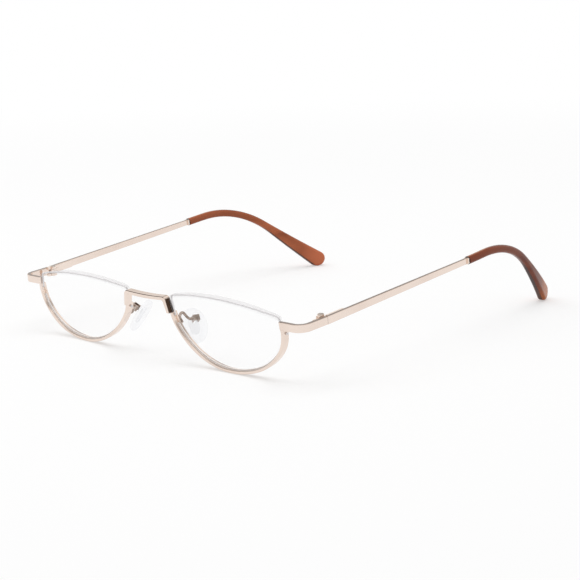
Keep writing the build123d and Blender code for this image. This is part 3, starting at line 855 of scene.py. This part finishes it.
    def build(
        self, frame: dict, material: bpy.types.Material, tree: bpy.types.GeometryNodeTree
    ) -> bpy.types.Object:
        """Make the screw where its plain solid is, and let it stand for that solid.

        Args:
            frame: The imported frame.
            material: The screw's finish.
            tree: The tree that turns a screw.

        Returns:
            The finished piece.
        """
        joint = next(j for j in frame["record"]["behaviour"]["joints"] if j["name"] == self.joint)
        place, axis = Vector(joint["pos_m"]), Vector(joint["axis"]).normalized()
        solid = frame["nodes"][self.node].data
        reach = [(v.co - place).dot(axis) for v in solid.vertices]
        far = [(v.co - place - axis * r).length for v, r in zip(solid.vertices, reach)]
        at_head = reach[far.index(max(far))]
        ends = sorted((min(reach), max(reach)), key=lambda end: abs(end - at_head))
        way = axis if ends[0] > ends[1] else -axis
        base = place + axis * ends[0] - way * (self.rim_height + self.dome_height)
        length = abs(ends[0] - ends[1]) - self.rim_height - self.dome_height
        sizes = {
            "Shank Radius": self.shank_radius, "Length": length, "Head Radius": self.head_radius,
            "Rim Height": self.rim_height, "Dome Height": self.dome_height, "Slot Width": self.slot_width,
            "Slot Depth": self.slot_depth, "Sides": self.sides, "Finish": material,
        }
        piece = bpy.data.objects.new(self.node + "_turned", bpy.data.meshes.new(self.node + "_blank"))
        bpy.context.scene.collection.objects.link(piece)
        turning = piece.modifiers.new("turning", "NODES")
        turning.node_group = tree
        for socket in tree.interface.items_tree:
            if socket.in_out == "INPUT":
                turning[socket.identifier] = sizes[socket.name]
        mesh = bpy.data.meshes.new_from_object(piece.evaluated_get(bpy.context.evaluated_depsgraph_get()))
        piece.modifiers.remove(turning)
        mesh.transform(Matrix.Translation(base) @ way.to_track_quat("Z", "Y").to_matrix().to_4x4())
        piece.data = mesh
        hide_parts(self.node)
        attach(piece, "front")
        LOG.info("%s turned, %d faces, %.2f mm long", self.node, len(mesh.polygons), length * MILLIMETRES)
        return piece


def screws() -> list[SlottedScrew]:
    """The hinge screws and the smaller pad screws of both sides."""
    made = [SlottedScrew(f"{side}_hinge_screw", f"{side}_temple_fold") for side in SIDES]
    made += [
        SlottedScrew(
            f"{side}_pad_screw", f"{side}_pad_rock", shank_radius=0.0004, head_radius=0.00065,
            rim_height=0.0002,
        )
        for side in SIDES
    ]
    return made


@dataclass(frozen=True)
class Lamp:
    """One soft square lamp: its place and side in metres and its power in watts."""

    name: str
    place: Triple
    size: float
    power: float

    def hang(self, target: Triple) -> None:
        """Hang the lamp and point it at a place.

        Args:
            target: The place, in metres.
        """
        data = bpy.data.lights.new(self.name, "AREA")
        data.size = self.size
        data.energy = self.power
        lamp = bpy.data.objects.new(self.name, data)
        lamp.visible_glossy = False
        way = Vector(target) - Vector(self.place)
        turn = way.to_track_quat("-Z", "Y").to_matrix().to_4x4()
        lamp.matrix_world = Matrix.Translation(Vector(self.place)) @ turn
        bpy.context.scene.collection.objects.link(lamp)


@dataclass
class Studio:
    """Floor, light and camera."""

    camera_place: Triple = (0.378495, -0.406879, 0.131426)
    azimuth: float = 43.256
    elevation: float = 12.365
    roll: float = -1.816
    focal_pixels: float = 1597.54
    clip: tuple[float, float] = (0.01, 50.0)
    floor_side: float = 6.0
    paper_lit: float = 0.8
    paper_seen: float = 0.62
    paper_glow: float = 0.385
    middle: Triple = (0.0, 0.0, 0.015)
    lamps: tuple[Lamp, ...] = (
        Lamp("overhead", (0.05, 0.1, 1.4), 1.2, 7.0),
        Lamp("key", (-0.9, -0.7, 1.3), 1.0, 4.0),
    )
    world_strength: float = 0.6
    room_tint: Colour = (1.0, 0.97, 0.94)
    room_stops: tuple[tuple[float, float], ...] = (
        (0.0, 1.0), (0.46, 1.0), (0.60, 0.55), (0.72, 0.50), (0.84, 1.0),
    )
    white_from: float = 0.22
    white_to: float = 0.8

    def camera(self) -> None:
        """Set the camera as the photograph's was."""
        a, e, r = (math.radians(v) for v in (self.azimuth, self.elevation, self.roll))
        ahead = Vector((-math.sin(a) * math.cos(e), math.cos(a) * math.cos(e), -math.sin(e)))
        right = Vector((math.cos(a), math.sin(a), 0.0))
        up = Vector((-math.sin(a) * math.sin(e), math.cos(a) * math.sin(e), math.cos(e)))
        rolled_right = right * math.cos(r) + up * math.sin(r)
        rolled_up = up * math.cos(r) - right * math.sin(r)
        turn = Matrix((rolled_right, rolled_up, -ahead)).transposed().to_4x4()
        data = bpy.data.cameras.new("camera")
        data.sensor_width = SENSOR
        data.sensor_height = SENSOR
        data.lens = self.focal_pixels / PICTURE_SIDE * SENSOR
        data.clip_start, data.clip_end = self.clip
        camera = bpy.data.objects.new("camera", data)
        camera.matrix_world = Matrix.Translation(Vector(self.camera_place)) @ turn
        bpy.context.scene.collection.objects.link(camera)
        bpy.context.scene.camera = camera

    def floor(self) -> None:
        """Lay a pale floor that shows white to the camera and keeps the soft shadow."""
        half = self.floor_side / 2
        mesh = bpy.data.meshes.new("floor")
        mesh.from_pydata(
            [(-half, -half, 0), (half, -half, 0), (half, half, 0), (-half, half, 0)], [], [(0, 1, 2, 3)]
        )
        floor = bpy.data.objects.new("floor", mesh)
        bpy.context.scene.collection.objects.link(floor)
        material = bpy.data.materials.new("floor_paper")
        material.use_nodes = True
        material.node_tree.nodes.clear()
        sheet = NodeSheet(material.node_tree)
        out = sheet.add("ShaderNodeOutputMaterial")
        plain = sheet.add("ShaderNodeBsdfDiffuse")
        sheet.fill(plain, {"Color": (*(self.paper_lit,) * 3, 1.0)})
        seen = sheet.add("ShaderNodeBsdfDiffuse")
        sheet.fill(seen, {"Color": (*(self.paper_seen,) * 3, 1.0)})
        glow = sheet.add("ShaderNodeEmission")
        sheet.fill(glow, {"Strength": self.paper_glow})
        both = sheet.add("ShaderNodeAddShader")
        mix = sheet.add("ShaderNodeMixShader")
        sheet.link(seen.outputs[0], both.inputs[0])
        sheet.link(glow.outputs[0], both.inputs[1])
        place = sheet.add("ShaderNodeTexCoord")
        away = sheet.add("ShaderNodeVectorMath", operation="LENGTH")
        fade = sheet.add("ShaderNodeMapRange", interpolation_type="SMOOTHSTEP")
        sheet.fill(fade, {"From Min": self.white_from, "From Max": self.white_to})
        white = sheet.add("ShaderNodeEmission")
        sweep = sheet.add("ShaderNodeMixShader")
        sheet.link(place.outputs["Object"], away.inputs[0])
        sheet.link(away.outputs["Value"], fade.inputs["Value"])
        sheet.link(fade.outputs["Result"], sweep.inputs[0])
        sheet.link(both.outputs[0], sweep.inputs[1])
        sheet.link(white.outputs[0], sweep.inputs[2])
        sheet.link(sheet.any_ray(Ray.CAMERA, Ray.GLOSSY, Ray.TRANSMISSION), mix.inputs[0])
        sheet.link(plain.outputs[0], mix.inputs[1])
        sheet.link(sweep.outputs[0], mix.inputs[2])
        sheet.link(mix.outputs[0], out.inputs["Surface"])
        mesh.materials.append(material)

    def world(self) -> None:
        """Light the scene evenly, white behind the object."""
        world = bpy.data.worlds.new("studio")
        bpy.context.scene.world = world
        world.use_nodes = True
        world.node_tree.nodes.clear()
        sheet = NodeSheet(world.node_tree)
        out = sheet.add("ShaderNodeOutputWorld")
        shown, lit, room = (sheet.add("ShaderNodeBackground") for _ in range(3))
        sheet.fill(lit, {"Strength": self.world_strength})
        for background in (shown, lit):
            sheet.fill(background, {"Color": (1.0, 1.0, 1.0, 1.0)})
        self._room_colour(sheet, room)
        seen = sheet.add("ShaderNodeMixShader")
        sheet.link(sheet.any_ray(Ray.GLOSSY), seen.inputs[0])
        sheet.link(shown.outputs[0], seen.inputs[1])
        sheet.link(room.outputs[0], seen.inputs[2])
        mix = sheet.add("ShaderNodeMixShader")
        sheet.link(sheet.any_ray(Ray.CAMERA, Ray.GLOSSY, Ray.TRANSMISSION), mix.inputs[0])
        sheet.link(lit.outputs[0], mix.inputs[1])
        sheet.link(seen.outputs[0], mix.inputs[2])
        sheet.link(mix.outputs[0], out.inputs["Surface"])

    def _room_colour(self, sheet: NodeSheet, room: bpy.types.Node) -> None:
        """Give reflections the white backdrop low down, the dim room over it and the soft lamps overhead.

        Args:
            sheet: The world's nodes.
            room: The background node that reflections see.
        """
        place = sheet.add("ShaderNodeTexCoord")
        split = sheet.add("ShaderNodeSeparateXYZ")
        ramp = sheet.add("ShaderNodeValToRGB")
        sheet.link(place.outputs["Generated"], split.inputs[0])
        sheet.link(split.outputs["Z"], ramp.inputs["Fac"])
        sheet.link(ramp.outputs["Color"], room.inputs["Color"])
        stops = ramp.color_ramp.elements
        while len(stops) < len(self.room_stops):
            stops.new(1.0)
        for stop, (height, grey) in zip(stops, self.room_stops):
            stop.position = height
            stop.color = (*(grey * share for share in self.room_tint), 1.0)

    def build(self) -> None:
        """Build the whole studio."""
        self.camera()
        self.floor()
        self.world()
        for lamp in self.lamps:
            lamp.hang(self.middle)
        bpy.context.scene.view_settings.view_transform = "Standard"
        LOG.info("studio set")


def main() -> None:
    """Dress the glasses and set the studio."""
    logging.basicConfig(level=logging.INFO)
    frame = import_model()
    groups = SurfaceGroups()
    materials = {kind: finish.build(groups) for kind, finish in FINISHES.items()}
    dresser = Dresser(frame, materials)
    for assembly in (FrameFront(), Temples(), NosePads()):
        dresser.dress(assembly)
    tree = SlottedScrew.tree()
    for screw in screws():
        screw.build(frame, materials[Finish.SCREW], tree)
    Studio().build()
    bpy.context.view_layer.update()


if __name__ == "__main__":
    main()
